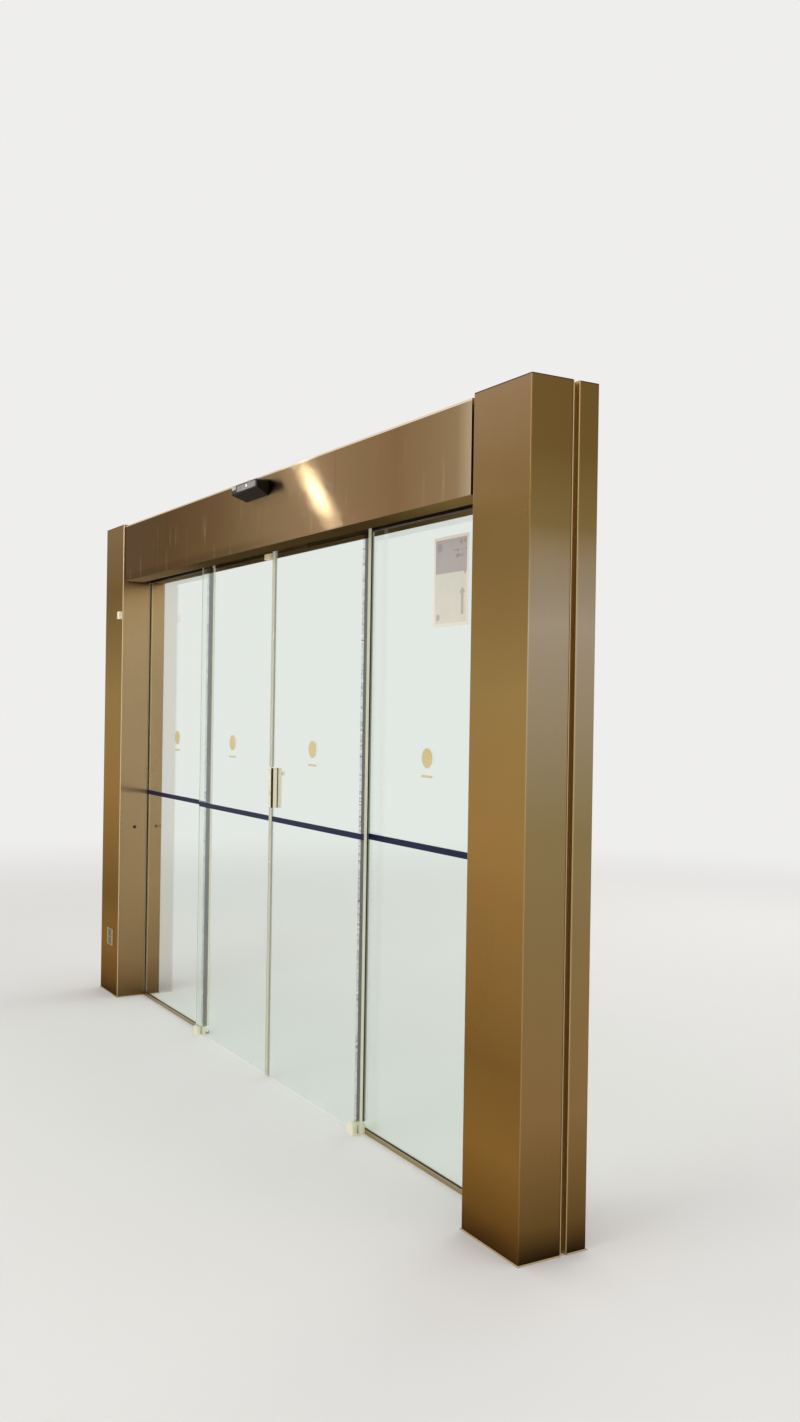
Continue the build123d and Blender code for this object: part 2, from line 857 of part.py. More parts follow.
lock_face_y = glass / 2 + lock_cover
cylinder_y = lock_face_y + cylinder_proud
bolt_z = lock_z - bolt_drop
turn_x = (lock_near + lock_far) / 2
turn_z = lock_z + lock_height / 2 - turn_drop


def cylinder_profile(gap):
    """Round head with a fin below it, in the current sketch."""
    fin_low = turn_z + cylinder_radius - cylinder_height
    with Locations((turn_x, turn_z)):
        Circle(cylinder_radius + gap)
    rect((turn_x - cylinder_fin_width / 2 - gap, turn_x + cylinder_fin_width / 2 + gap),
         (fin_low - gap, turn_z))


def lock_case():
    low, high = lock_z - lock_height / 2, lock_z + lock_height / 2
    with BuildPart() as case:
        for near, far in ((-lock_face_y, -glass / 2), (glass / 2, lock_face_y)):
            block((lock_near, lock_far), (near, far), (low, high))
        uprights = case.edges().filter_by(Axis.Z)
        fillet(uprights.group_by(Axis.Y)[0] + uprights.group_by(Axis.Y)[-1], radius=bend_radius)
        block((lock_x, lock_far - lock_side_grip), (-glass / 2, glass / 2),
              (low + lock_grip, high - lock_grip))
        block((lock_x, lock_x + bolt_length + 2 * bolt_gap),
              (-bolt_thickness / 2 - bolt_gap, bolt_thickness / 2 + bolt_gap),
              (bolt_z - bolt_height / 2 - bolt_gap, bolt_z + bolt_height / 2 + bolt_gap),
              Mode.SUBTRACT)
        with BuildSketch(Plane.XZ.offset(lock_face_y)):
            cylinder_profile(cylinder_gap)
        extrude(amount=-2 * lock_face_y, mode=Mode.SUBTRACT)
    save(case.part, "lock_case")


def lock_cylinder():
    with BuildPart() as cylinder:
        with BuildSketch(Plane.XZ.offset(cylinder_y)):
            cylinder_profile(0)
            with Locations((turn_x, turn_z)):
                Circle(plug_radius + axle_clearance, mode=Mode.SUBTRACT)
        extrude(amount=-2 * cylinder_y)
    save(cylinder.part, "lock_cylinder")


def lock_bolt():
    with BuildPart() as bolt:
        block((lock_x + bolt_gap, lock_x + bolt_gap + bolt_length),
              (-bolt_thickness / 2, bolt_thickness / 2),
              (bolt_z - bolt_height / 2, bolt_z + bolt_height / 2))
        chamfer(bolt.edges().group_by(Axis.X)[0], length=bolt_chamfer)
    save(bolt.part, "lock_bolt")


def lock_turn():
    knob_y = cylinder_y + bolt_gap
    key_y = cylinder_y - plug_recess
    with BuildPart() as turn:
        with BuildSketch(Plane.XZ.offset(key_y)):
            with Locations((turn_x, turn_z)):
                Circle(plug_radius)
        extrude(amount=-(key_y + knob_y))
        with BuildSketch(Plane.XZ.offset(key_y)):
            with Locations((turn_x, turn_z)):
                Rectangle(key_width, key_height)
        extrude(amount=-lock_cover, mode=Mode.SUBTRACT)
        with BuildSketch(Plane.XZ.offset(-knob_y)):
            with Locations((turn_x, turn_z)):
                Circle(knob_radius)
        extrude(amount=-knob_thickness)
        with BuildSketch(Plane.XZ.offset(-knob_y - knob_thickness)):
            with Locations((turn_x, turn_z)):
                SlotOverall(knob_grip_length, knob_grip_width, rotation=90)
        extrude(amount=-knob_grip)
    save(turn.part, "lock_turn")


def lock_keeper():
    low = lock_z - lock_height / 2 + lock_grip
    high = lock_z + lock_height / 2 - lock_grip
    with BuildPart() as keeper:
        block((-half_gap - keeper_depth, -half_gap), (-glass / 2, glass / 2), (low, high))
        block((-half_gap - keeper_depth + channel_wall, -half_gap + overrun),
              (-bolt_thickness / 2 - keeper_slot_gap, bolt_thickness / 2 + keeper_slot_gap),
              (bolt_z - bolt_height / 2 - keeper_slot_gap, bolt_z + bolt_height / 2 + keeper_slot_gap),
              Mode.SUBTRACT)
    save(keeper.part, "lock_keeper")


def door_contact():
    edge = -half_gap - seal_grip - contact_gap
    face = -glass / 2
    with BuildPart() as contact:
        block((edge - contact_width, edge), (face - contact_depth, face),
              (clear_height - contact_drop - contact_height, clear_height - contact_drop))
        fillet(contact.edges().filter_by(Axis.X).group_by(Axis.Y)[0], radius=guide_rounding)
    save(contact.part, "door_contact")


# Motion sensors on both faces of the header

def motion_sensor(way):
    """way is -1 for the front of the header and 1 for its rear."""
    face = cover_front if way < 0 else cover_rear
    nose = face + way * sensor_depth
    centre = -way * sensor_x
    window_x = centre - way * window_offset
    name = "front" if way < 0 else "rear"
    front_low = sensor_bottom_z + sensor_front_rise
    front_high = front_low + sensor_front_height
    half = window_width / 2
    window_z = (front_low + front_high) / 2
    with BuildPart() as body:
        # The housing widens from its back on the header to the window.
        for y, width, low, high in (
                (face, sensor_back_width, sensor_bottom_z, sensor_bottom_z + sensor_back_height),
                (nose, sensor_width, front_low, front_high)):
            with BuildSketch(Plane.XZ.offset(-y)) as outline:
                rect((centre - width / 2, centre + width / 2), (low, high))
                fillet(outline.vertices().group_by(Axis.Y)[-1], radius=sensor_corner)
        loft(ruled=True)
        nose_edges = body.faces().sort_by(Axis.Y)[0 if way < 0 else -1].edges()
        fillet(nose_edges, radius=sensor_nose_rounding)
        block((window_x - half, window_x + half), (nose - way * window_thickness, nose),
              (window_z - window_height / 2, window_z + window_height / 2), Mode.SUBTRACT)
    save(body.part, f"{name}_sensor")
    return window_x, nose, window_z


def sensor_windows():
    places = [motion_sensor(-1), motion_sensor(1)]
    half = window_width / 2
    with BuildPart() as windows:
        for (window_x, nose, window_z), way in zip(places, (-1, 1)):
            block((window_x - half, window_x + half), (nose - way * window_thickness, nose),
                  (window_z - window_height / 2, window_z + window_height / 2))
    save(windows.part, "sensor_windows")


# Small fittings on the posts and the notice on the right lite

def photocells():
    with BuildPart() as cells:
        for side in (-1, 1):
            face = side * half_opening
            for y in (photocell_front_y, photocell_rear_y):
                with BuildSketch(Plane.YZ.offset(face)):
                    with Locations((y, photocell_z)):
                        Circle(photocell_radius)
                extrude(amount=side * photocell_length)
                with BuildSketch(Plane.YZ.offset(face)):
                    with Locations((y, photocell_z)):
                        Circle(photocell_flange)
                extrude(amount=-side * photocell_proud)
    save(cells.part, "photocells")


def service_plate():
    x = -post_x + plate_offset
    with BuildPart() as plate:
        with BuildSketch(Plane.XZ.offset(-front_y)):
            with Locations((x, plate_z)):
                RectangleRounded(plate_width, plate_height, plate_corner)
                with GridLocations(0, insert_pitch, 1, 2):
                    Rectangle(insert_width, insert_height, mode=Mode.SUBTRACT)
        extrude(amount=plate_thickness)
    save(plate.part, "service_plate")

    with BuildPart() as inserts:
        with BuildSketch(Plane.XZ.offset(-front_y)):
            with Locations((x, plate_z)):
                with GridLocations(0, insert_pitch, 1, 2):
                    Rectangle(insert_width, insert_height)
        extrude(amount=plate_thickness - insert_proud)
    save(inserts.part, "socket_inserts")


def contact_box():
    right = -half_opening - box_edge
    with BuildPart() as box:
        block((right - box_size, right), (front_y - box_depth, front_y),
              (box_z - box_size / 2, box_z + box_size / 2))
        fillet(box.faces().sort_by(Axis.Y)[0].edges(), radius=guide_rounding)
    save(box.part, "contact_box")


def notice_sheet():
    face = fixed_plane_y - glass / 2
    with BuildPart() as notice:
        with BuildSketch(Plane.XZ.offset(-face)):
            with Locations((half_opening - notice_inset, clear_height - notice_drop)):
                Rectangle(notice_width, notice_height)
        extrude(amount=film)
    save(notice.part, "notice_sheet")


for hand_side in (-1, 1):
    post_front(hand_side)
    post_rear(hand_side)
    post_core(hand_side)
    fixed_glass(hand_side)
    floor_guide(hand_side)
    leaf_glass(hand_side)
    leaf_rail(hand_side)
    carriages(hand_side)
    for wheel_centre, wheel_place in zip(carriage_centres, ("inner", "outer")):
        leaf_wheel(hand_side, wheel_centre, wheel_place)
    belt_clamp(hand_side)
    edge_seal(hand_side)
    leaf_strip(hand_side)

post_channels()
header_cover()
header_rear()
header_beam()
cover_ribs()
header_channels()
glazing_gaskets()
brush_seals()
track_rail()
end_stops()
drive_pulley()
idler_pulley()
drive_motor()
motor_bracket()
idler_bracket()
drive_belt()
control_unit()
fixed_strips()
lock_case()
lock_cylinder()
lock_bolt()
lock_turn()
lock_keeper()
door_contact()
sensor_windows()
photocells()
service_plate()
contact_box()
notice_sheet()
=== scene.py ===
import math

import bmesh
import bpy
from mathutils import Matrix, Vector


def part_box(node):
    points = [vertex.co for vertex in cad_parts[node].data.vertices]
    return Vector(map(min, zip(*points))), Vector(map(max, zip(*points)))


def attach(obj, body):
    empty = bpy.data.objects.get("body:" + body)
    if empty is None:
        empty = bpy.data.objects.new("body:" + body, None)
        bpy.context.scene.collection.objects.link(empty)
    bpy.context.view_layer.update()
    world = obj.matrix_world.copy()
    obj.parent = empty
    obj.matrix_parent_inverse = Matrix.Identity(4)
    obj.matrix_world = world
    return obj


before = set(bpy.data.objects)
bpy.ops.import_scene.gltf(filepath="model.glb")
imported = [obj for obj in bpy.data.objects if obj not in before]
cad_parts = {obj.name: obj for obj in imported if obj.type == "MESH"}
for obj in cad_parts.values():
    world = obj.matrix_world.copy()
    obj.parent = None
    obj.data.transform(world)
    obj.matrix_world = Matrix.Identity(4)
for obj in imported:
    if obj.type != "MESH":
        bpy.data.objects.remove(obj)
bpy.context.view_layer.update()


# Posts: two folded stainless casings each, one in front of the glass line and
# one behind it. The sheet is brushed along its height. Its tones, brown in
# front and paler with a green cast on the narrow sides, changing with height,
# are painted reflection and shade.

class Wire:
    """An output in a node tree. Arithmetic on it adds Math nodes."""

    def __init__(self, tree, output):
        self.tree, self.output = tree, output

    def __add__(self, other):
        return self.tree.math("ADD", self, other)

    def __mul__(self, other):
        return self.tree.math("MULTIPLY", self, other)

    def __sub__(self, other):
        return self.tree.math("SUBTRACT", self, other)

    def __rsub__(self, other):
        return self.tree.math("SUBTRACT", other, self)

    __radd__ = __add__
    __rmul__ = __mul__

    def size(self):
        """This without its sign."""
        return self.tree.math("ABSOLUTE", self)

    def root(self):
        return self.tree.math("SQRT", self)

    def larger(self, other):
        return self.tree.math("MAXIMUM", self, other)

    def smaller(self, other):
        return self.tree.math("MINIMUM", self, other)

    def over(self, limit):
        """1 where this is more than limit, else 0."""
        return self.tree.math("GREATER_THAN", self, limit)

    def within(self, low, high):
        """1 from low to high, else 0."""
        return self.over(low) * (1 - self.over(high))

    def between(self, low, high):
        """0 at low, rising smoothly to 1 at high."""
        settings = {"interpolation_type": "SMOOTHSTEP"}
        return self.tree.node("ShaderNodeMapRange", settings, {0: self, 1: low, 2: high})

    def shades(self, *stops):
        """Colour from (value, colour) stops, the values in this wire's own unit."""
        low, high = stops[0][0], stops[-1][0]
        share = self.tree.node("ShaderNodeMapRange", {}, {0: self, 1: low, 2: high})
        places = [((value - low) / (high - low), shade) for value, shade in stops]
        return self.tree.node("ShaderNodeValToRGB", {"stops": places}, {0: share})


class Tree:
    """A node tree. Its node method adds a node and returns its output, and the rest use it."""

    def __init__(self, nodes_owner):
        nodes_owner.use_nodes = True
        self.tree = nodes_owner.node_tree
        self.tree.nodes.clear()

    def node(self, kind, settings=None, sockets=None, out=0):
        node = self.tree.nodes.new(kind)
        for key, value in (settings or {}).items():
            if key == "stops":
                self.set_stops(node.color_ramp.elements, value)
            else:
                setattr(node, key, value)
        for key, value in (sockets or {}).items():
            if isinstance(value, Wire):
                self.tree.links.new(value.output, node.inputs[key])
            else:
                node.inputs[key].default_value = value
        return Wire(self, node.outputs[out]) if len(node.outputs) else node

    def set_stops(self, elements, stops):
        while len(elements) < len(stops):
            elements.new(0.5)
        for element, (place, shade) in zip(elements, stops):
            element.position = place
            element.color = (*shade, 1)

    def math(self, operation, *values):
        return self.node("ShaderNodeMath", {"operation": operation}, dict(enumerate(values)))

    def place(self):
        """The point in the object's own coordinates, in metres."""
        return self.node("ShaderNodeTexCoord", out="Object")

    def axis(self, name):
        """The point's place along one axis."""
        return self.node("ShaderNodeSeparateXYZ", sockets={0: self.place()}, out=name)

    def facing(self, name):
        """The surface normal's share along one axis."""
        normal = self.node("ShaderNodeTexCoord", out="Normal")
        return self.node("ShaderNodeSeparateXYZ", sockets={0: normal}, out=name)

    def noise(self, scale, detail=2.0, rough=0.5):
        """Noise with a scale of its own along each axis, in cycles a metre."""
        point = self.node("ShaderNodeMapping", {}, {"Vector": self.place(), "Scale": scale})
        sockets = {"Vector": point, "Scale": 1.0, "Detail": detail, "Roughness": rough}
        return self.node("ShaderNodeTexNoise", {}, sockets)

    def mix(self, share, first, second):
        """Two colours mixed by share, from 0, all first, to 1, all second."""
        pair = [value if isinstance(value, Wire) else (*value, 1) for value in (first, second)]
        sockets = {0: share, 6: pair[0], 7: pair[1]}
        return self.node("ShaderNodeMix", {"data_type": "RGBA"}, sockets, out=2)

    def lit(self, shade, level):
        """A colour multiplied by a number."""
        sockets = {0: shade, "Scale": level}
        return self.node("ShaderNodeVectorMath", {"operation": "SCALE"}, sockets)

    def bump(self, height, distance):
        return self.node("ShaderNodeBump", {}, {"Height": height, "Distance": distance})

    def join(self, share, first, second):
        """Two shaders mixed by share."""
        return self.node("ShaderNodeMixShader", {}, {0: share, 1: first, 2: second})

    def show(self, shader, target="ShaderNodeOutputMaterial"):
        self.node(target, {}, {"Surface": shader})


def colour(red, green, blue):
    """A colour given by its three display values from 0 to 255."""
    parts = [value / 255 for value in (red, green, blue)]
    return tuple(part / 12.92 if part < 0.04045 else ((part + 0.055) / 1.055) ** 2.4
                 for part in parts)


def finish(name):
    """A new material and its tree."""
    material = bpy.data.materials.new(name)
    return material, Tree(material)


def principled(tree, **sockets):
    """A Principled shader. An underscore in a socket's name stands for its space."""
    named = {key.replace("_", " "): value for key, value in sockets.items()}
    for key in ("Base Color", "Emission Color"):
        if key in named and not isinstance(named[key], Wire):
            named[key] = (*named[key], 1)
    return tree.node("ShaderNodeBsdfPrincipled", {}, named)


def dress(material, *nodes):
    """Give CAD nodes a material in their own slots."""
    for name in nodes:
        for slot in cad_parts[name].material_slots:
            slot.material = material


def brushed(name, look, grain, turn):
    """Brushed stainless. look(tree) gives its colour and roughness, grain its scratches'
    cycles a metre along each axis, and turn their way, from 0, upright, to 0.25, level."""
    scratch_depth, fold_highlight_gain = 0.00002, 0.35
    material, tree = finish(name)
    scratches = tree.noise(grain, detail=3.0, rough=0.6)
    clouds = tree.noise((2.2, 2.2, 1.4), detail=3.0)
    uneven = (scratches - 0.5) * 0.16 + (clouds - 0.5) * 0.20 + 1.0
    # A painted highlight lightens the sheet's upright folds in front, and its undersides are
    # dull.
    painted_fold_highlight = (tree.facing("X").size() * (0 - tree.facing("Y"))).between(0.05, 0.35)
    downward = tree.facing("Z").between(-0.5, -0.9)
    tone, gloss = look(tree)
    tree.show(principled(tree, Base_Color=tree.lit(tone, uneven + painted_fold_highlight * fold_highlight_gain),
                         Metallic=1 - downward, Roughness=gloss + (clouds - 0.5) * 0.06,
                         Specular_IOR_Level=0.0, Specular_Tint=(0.60, 0.56, 0.48, 1),
                         Anisotropic=1.0, Anisotropic_Rotation=turn,
                         Normal=tree.bump(scratches, scratch_depth)))
    return material


def post_look(tree):
    """Painted reflection and shade in tones by height on the front and sides, a painted fold
    highlight, a dark top.
    """
    top_height, fold_highlight_share = 0.003, 0.5
    height = tree.axis("Z")
    # Painted reflection and shade: each face's tone changes with height, darkest at the foot.
    front = height.shades((0.0, colour(84, 58, 30)), (0.09, colour(128, 90, 42)),
                          (0.28, colour(156, 114, 56)), (0.54, colour(140, 103, 52)),
                          (1.10, colour(170, 130, 72)), (1.60, colour(165, 134, 80)),
                          (2.15, colour(128, 100, 59)), (2.50, colour(140, 114, 84)))
    outer = height.shades((0.0, colour(48, 34, 17)), (0.10, colour(114, 86, 46)),
                          (0.40, colour(148, 116, 72)), (1.20, colour(146, 126, 84)),
                          (1.80, colour(170, 154, 132)), (2.08, colour(112, 92, 54)),
                          (2.30, colour(96, 74, 38)), (2.50, colour(94, 72, 38)))
    inner = height.shades((0.0, colour(116, 90, 56)), (0.20, colour(158, 127, 88)),
                          (0.60, colour(176, 146, 107)), (1.30, colour(178, 150, 113)),
                          (1.90, colour(180, 152, 114)), (2.15, colour(168, 136, 95)),
                          (2.50, colour(150, 122, 84)))
    # The outer side is the one past the post's middle that faces away from the doorway.
    core_low, core_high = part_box("left_post_core")
    away = tree.axis("X").size().over(abs(core_low.x + core_high.x) / 2)
    outward = (tree.axis("X") * tree.facing("X")).over(0)
    side = tree.mix(away * outward, inner, outer)
    flank = tree.facing("X").size()
    tone = tree.mix(flank.over(0.5), front, side)
    # A painted highlight lightens the fold between the front and the inner side.
    painted_fold_highlight = flank.within(0.2, 0.95) * (0 - tree.facing("Y")).over(0.2)
    tone = tree.mix(painted_fold_highlight * (1 - outward) * fold_highlight_share, tone, colour(250, 226, 184))
    top = height.over(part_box("left_post_front")[1].z - top_height)
    return tree.mix(top, tone, colour(58, 42, 24)), 0.28


upright = 0.0
post_steel = brushed("post_steel", post_look, (900, 900, 9), upright)
dress(post_steel, "left_post_front", "left_post_rear", "right_post_front", "right_post_rear")


# Sealant: a thin bead of beige silicone at the foot of each post's casings,
# gunned along the three sides that are in reach and smoothed to a round.

def keep(name, mesh, material, body="frame"):
    """Turn a bmesh into a piece of the door that rides on a body."""
    bmesh.ops.recalc_face_normals(mesh, faces=mesh.faces)
    data = bpy.data.meshes.new(name)
    mesh.to_mesh(data)
    mesh.free()
    data.materials.append(material)
    made = bpy.data.objects.new(name, data)
    bpy.context.scene.collection.objects.link(made)
    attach(made, body)


def vertices_in(made):
    """The vertices among what an operator made."""
    return [piece for piece in made["geom"] if isinstance(piece, bmesh.types.BMVert)]


def thicken(mesh, way):
    """Extrude every face of a flat outline by a vector."""
    made = bmesh.ops.extrude_face_region(mesh, geom=mesh.faces[:])
    bmesh.ops.translate(mesh, vec=way, verts=vertices_in(made))


def cut(mesh, place, normal, clear=False):
    """Cut a whole mesh along a plane, and clear the normal's side if asked to."""
    bmesh.ops.bisect_plane(mesh, geom=mesh.verts[:] + mesh.edges[:] + mesh.faces[:],
                           plane_co=place, plane_no=normal, clear_outer=clear)


def close(mesh):
    """Fill the open ends of a mesh."""
    bmesh.ops.holes_fill(mesh, edges=[edge for edge in mesh.edges if edge.is_boundary])


def moulded(name, base, roughness, **extra):
    """Plain moulded stuff with a fine skin, a little worn in places."""
    skin_grain, skin_depth, worn_share, worn_level = 900, 0.00006, 0.25, 0.72
    material, tree = finish(name)
    skin = tree.noise((skin_grain, skin_grain, skin_grain))
    worn = tree.noise((9, 9, 9), detail=4.0).between(0.45, 0.75)
    shade = tree.mix(worn * worn_share, base, [part * worn_level for part in base])
    tree.show(principled(tree, Base_Color=shade, Roughness=roughness + (skin - 0.5) * 0.12,
                         Normal=tree.bump(skin, skin_depth), **extra))
    return material


def foot_bead(casing, glass_side):
    """A bead round a casing's foot, left open on the side of the glass line."""
    width, height, rounding = 0.004, 0.004, 0.0036
    low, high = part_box(casing)
    line = high.y if glass_side > 0 else low.y
    near, far = low.y - width, high.y + width
    if glass_side > 0:
        far += width
    else:
        near -= width
    mesh = bmesh.new()
    corners = ((low.x - width, near, 0), (high.x + width, near, 0),
               (high.x + width, far, 0), (low.x - width, far, 0))
    outline = mesh.faces.new([mesh.verts.new(corner) for corner in corners])
    outline.normal_update()
    bmesh.ops.inset_region(mesh, faces=[outline], thickness=width, use_boundary=True,
                           use_even_offset=True)
    bmesh.ops.delete(mesh, geom=[outline], context="FACES_ONLY")
    thicken(mesh, (0, 0, height))
    middle, half = (low.x + high.x) / 2, (high.x - low.x + width) / 2
    brow = [edge for edge in mesh.edges
            if all(end.co.z > 0 and abs(end.co.x - middle) > half for end in edge.verts)]
    bmesh.ops.bevel(mesh, geom=brow, offset=rounding, segments=4, profile=0.5,
                    affect="EDGES", material=-1)
    cut(mesh, (0, line, 0), (0, glass_side, 0), clear=True)
    close(mesh)
    keep(casing + "_sealant", mesh, sealant)


sealant = moulded("sealant", colour(180, 156, 118), 0.35)
for side in ("left", "right"):
    foot_bead(side + "_post_front", 1)
    foot_bead(side + "_post_rear", -1)


# Header: a folded cover in front and a casing behind, from the same sheet,
# brushed along the doorway and a little aslant. The cover comes in two
# lengths. It has pale runs from cleaning. Painted reflection makes it darker
# to the left and lighter at the right end, with painted shade low on the left
# and under the soffit, and a painted highlight along the top rim.

def header_look(tree):
    """Painted reflection on the front and painted shade on the soffit, with runs, joint, low
    shade and rim highlight.
    """
    joint_x, joint_width, rim_highlight_height = 0.750, 0.0014, 0.007
    run_share, painted_low_shade = 0.34, 0.25
    bottom, top = (corner.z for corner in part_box("header_cover"))
    along, height = tree.axis("X"), tree.axis("Z")
    upright_face = tree.facing("Y").size().over(0.5)
    # Painted reflection tones the front, darker to the left and lighter at the right end.
    front = along.shades((-1.64, colour(94, 66, 52)), (-1.00, colour(100, 72, 50)),
                         (-0.40, colour(120, 92, 66)), (0.15, colour(148, 122, 90)),
                         (0.60, colour(160, 132, 100)), (1.20, colour(141, 111, 79)),
                         (1.56, colour(157, 130, 96)), (1.64, colour(190, 168, 136)))
    runs = tree.noise((26, 26, 4)).between(0.56, 0.80) * height.between(top, bottom + 0.10)
    front = tree.mix(runs * run_share, front, colour(196, 172, 138))
    # Painted shade darkens the front's lowest strip towards the left.
    low = height.between(bottom + 0.05, bottom + 0.02) * along.between(0.6, -0.4)
    front = tree.lit(front, 1 - low * painted_low_shade)
    joint = 1 - (along - joint_x).size().over(joint_width / 2)
    front = tree.mix(joint * upright_face, front, colour(40, 28, 16))
    # A painted highlight runs along the front's top rim.
    rim = height.over(top - rim_highlight_height) * upright_face
    front = tree.mix(rim, front, colour(250, 232, 200))
    # The soffit's tones are painted shade, darkest along the middle.
    soffit = along.shades((-1.60, colour(146, 120, 84)), (-1.00, colour(120, 98, 68)),
                          (-0.60, colour(84, 68, 42)), (1.00, colour(84, 67, 36)),
                          (1.25, colour(106, 86, 52)), (1.60, colour(146, 120, 72)))
    # The right half is wiped clean, so it is glossier.
    wiped = along.between(0.0, 0.6)
    return tree.mix(tree.facing("Z").between(-0.5, -0.9), front, soffit), 0.28 - wiped * 0.16


level, slant = 0.25, 0.0145
header_steel = brushed("header_steel", header_look, (9, 900, 900), level + slant)
dress(header_steel, "header_cover", "header_rear_casing")


# Hidden steel: post cores and beam in grey primer, ribs, brackets, clamps and
# carriages zinc plated, and the geared motor in dark paint.

def plain_metal(name, base, metallic, roughness, spots=60):
    """Painted or plated metal, a little darker in soft spots."""
    material, tree = finish(name)
    cloud = tree.noise((spots, spots, spots), detail=3.0)
    shade = tree.mix(cloud.between(0.3, 0.8) * 0.35, base, [part * 0.6 for part in base])
    tree.show(principled(tree, Base_Color=shade, Metallic=metallic,
                         Roughness=roughness + (cloud - 0.5) * 0.15))
    return material


dress(plain_metal("grey_primer", (0.20, 0.20, 0.21), 0.0, 0.6),
      "left_post_core", "right_post_core", "header_beam")
dress(plain_metal("zinc_plate", (0.58, 0.60, 0.62), 1.0, 0.35, spots=140),
      "cover_ribs", "motor_bracket", "idler_bracket", "left_belt_clamp", "right_belt_clamp",
      "left_carriages", "right_carriages")
dress(plain_metal("motor_paint", (0.13, 0.14, 0.15), 0.2, 0.45), "drive_motor")


# Extrusions: glazing channels, track and leaf rails in aluminium. Track and
# pulleys are plain satin, what edges the glass is anodised in a warm satin,
# the post channels in a paler copy painted lighter against the shade in their
# grooves, and what lines the slot over the leaves is anodised nearly black,
# which also paints the shade in the slot.

def anodised(name, base, roughness):
    """Extruded aluminium with a fine matt grain."""
    material, tree = finish(name)
    grain = tree.noise((600, 600, 600))
    tree.show(principled(tree, Base_Color=tree.lit(base, 0.9 + grain * 0.2), Metallic=1.0,
                         Roughness=roughness + (grain - 0.5) * 0.15,
                         Normal=tree.bump(grain, 0.00005)))
    return material


dress(anodised("satin_aluminium", (0.62, 0.60, 0.54), 0.32),
      "track_rail", "top_glazing_channel", "drive_pulley", "idler_pulley")
dress(anodised("warm_anodised", colour(176, 158, 118), 0.30), "floor_channels")
# The post channels are a paler copy of the warm finish, painted lighter against the shade in
# their grooves.
dress(anodised("groove_anodised_painted_light", colour(190, 166, 122), 0.35), "post_channels")
# Nearly black anodising on the slot's lining also paints the shade in the slot.
dress(anodised("slot_shade_anodised", colour(66, 52, 32), 0.40),
      "head_channels", "left_leaf_rail", "right_leaf_rail")


# Panes: 12 mm toughened glass with a faint green body. The upright edges are
# ground and polished, and a faint painted glow stands in for the cream line
# of light they gather.

def with_tinted_shadow(tree, shader, tint):
    """A shader that lets the lamps through and casts only a tinted shadow."""
    lamp_ray = tree.node("ShaderNodeLightPath", out="Is Shadow Ray")
    passing = tree.node("ShaderNodeBsdfTransparent", {}, {"Color": (*tint, 1)})
    return tree.join(lamp_ray, shader, passing)


green_tint = (0.88, 0.94, 0.90)
clear_glass, tree = finish("clear_glass")
edge = tree.facing("X").size().over(0.9)
body = principled(tree, Base_Color=green_tint, Transmission_Weight=1.0, Roughness=0.0, IOR=1.5,
                  Specular_IOR_Level=0.3)
# A faint painted glow in cream on the upright edges stands in for the light they gather.
edge_glow = principled(tree, Base_Color=(0.82, 0.80, 0.62), Transmission_Weight=0.3,
                    Roughness=0.12, IOR=1.5, Emission_Color=(0.82, 0.80, 0.60),
                    Emission_Strength=0.25)
tree.show(with_tinted_shadow(tree, tree.join(edge, body, edge_glow), green_tint))
dress(clear_glass, "left_fixed_glass", "right_fixed_glass", "left_leaf_glass",
      "right_leaf_glass")


# Rubber: black gaskets pressed into the channels along the glass, the drive's
# belt, and the stops at the ends of the track.

dress(moulded("black_rubber", (0.018, 0.018, 0.018), 0.62),
      "glazing_gaskets", "end_stops", "drive_belt")


# Brush seals: a clear clip pushed over each fixed lite's leading edge holds a
# strip of black pile. It is dense at its root and thins out to loose tips
# that touch the leaf.

def clear_plastic(tree):
    """Soft clear plastic with a cream cast and a faint painted glow."""
    return principled(tree, Base_Color=(0.84, 0.83, 0.72), Transmission_Weight=0.65,
                      Roughness=0.25, IOR=1.45, Emission_Color=(0.8, 0.78, 0.62),
                      Emission_Strength=0.08)


clip_face, tip_root = 0.036, 0.017
brush, tree = finish("brush_pile")
depth = tree.axis("Y")
hairs = tree.noise((900, 30, 900), detail=3.0)
pile = principled(tree, Base_Color=(0.012, 0.012, 0.012), Roughness=0.85,
                  Alpha=hairs.over(0.58).larger(depth.over(tip_root)),
                  Normal=tree.bump(hairs, 0.0006))
tree.show(tree.join(depth.over(clip_face), pile, clear_plastic(tree)))
dress(brush, "brush_seals")


# Meeting-edge seals: clear soft plastic extrusions, pushed over the upright
# edges where the two leaves meet.

clear_seal, tree = finish("clear_seal")
tree.show(clear_plastic(tree))
dress(clear_seal, "left_edge_seal", "right_edge_seal")


# Safety strips: dark blue film, cut to a narrow band and stuck on the panes
# at waist height.

film, tree = finish("blue_film")
haze = tree.noise((6, 6, 60), detail=3.0)
tree.show(principled(tree, Base_Color=tree.mix(haze, colour(12, 16, 42), colour(24, 32, 70)),
                     Roughness=0.45, Specular_IOR_Level=0.12))
dress(film, "left_leaf_strip", "right_leaf_strip", "fixed_strips")


# Glass marks: a plain cream disc of film with a short bar under it on each
# pane at chest height, so that people see the glass.

mark_height, mark_radius, mark_film, mark_gap = 1.388, 0.034, 0.0003, 0.0001
bar_width, bar_height, bar_drop = 0.070, 0.008, 0.062
to_upright = Matrix.Rotation(math.pi / 2, 3, "X")
cream_film = moulded("cream_film", colour(214, 196, 140), 0.4)


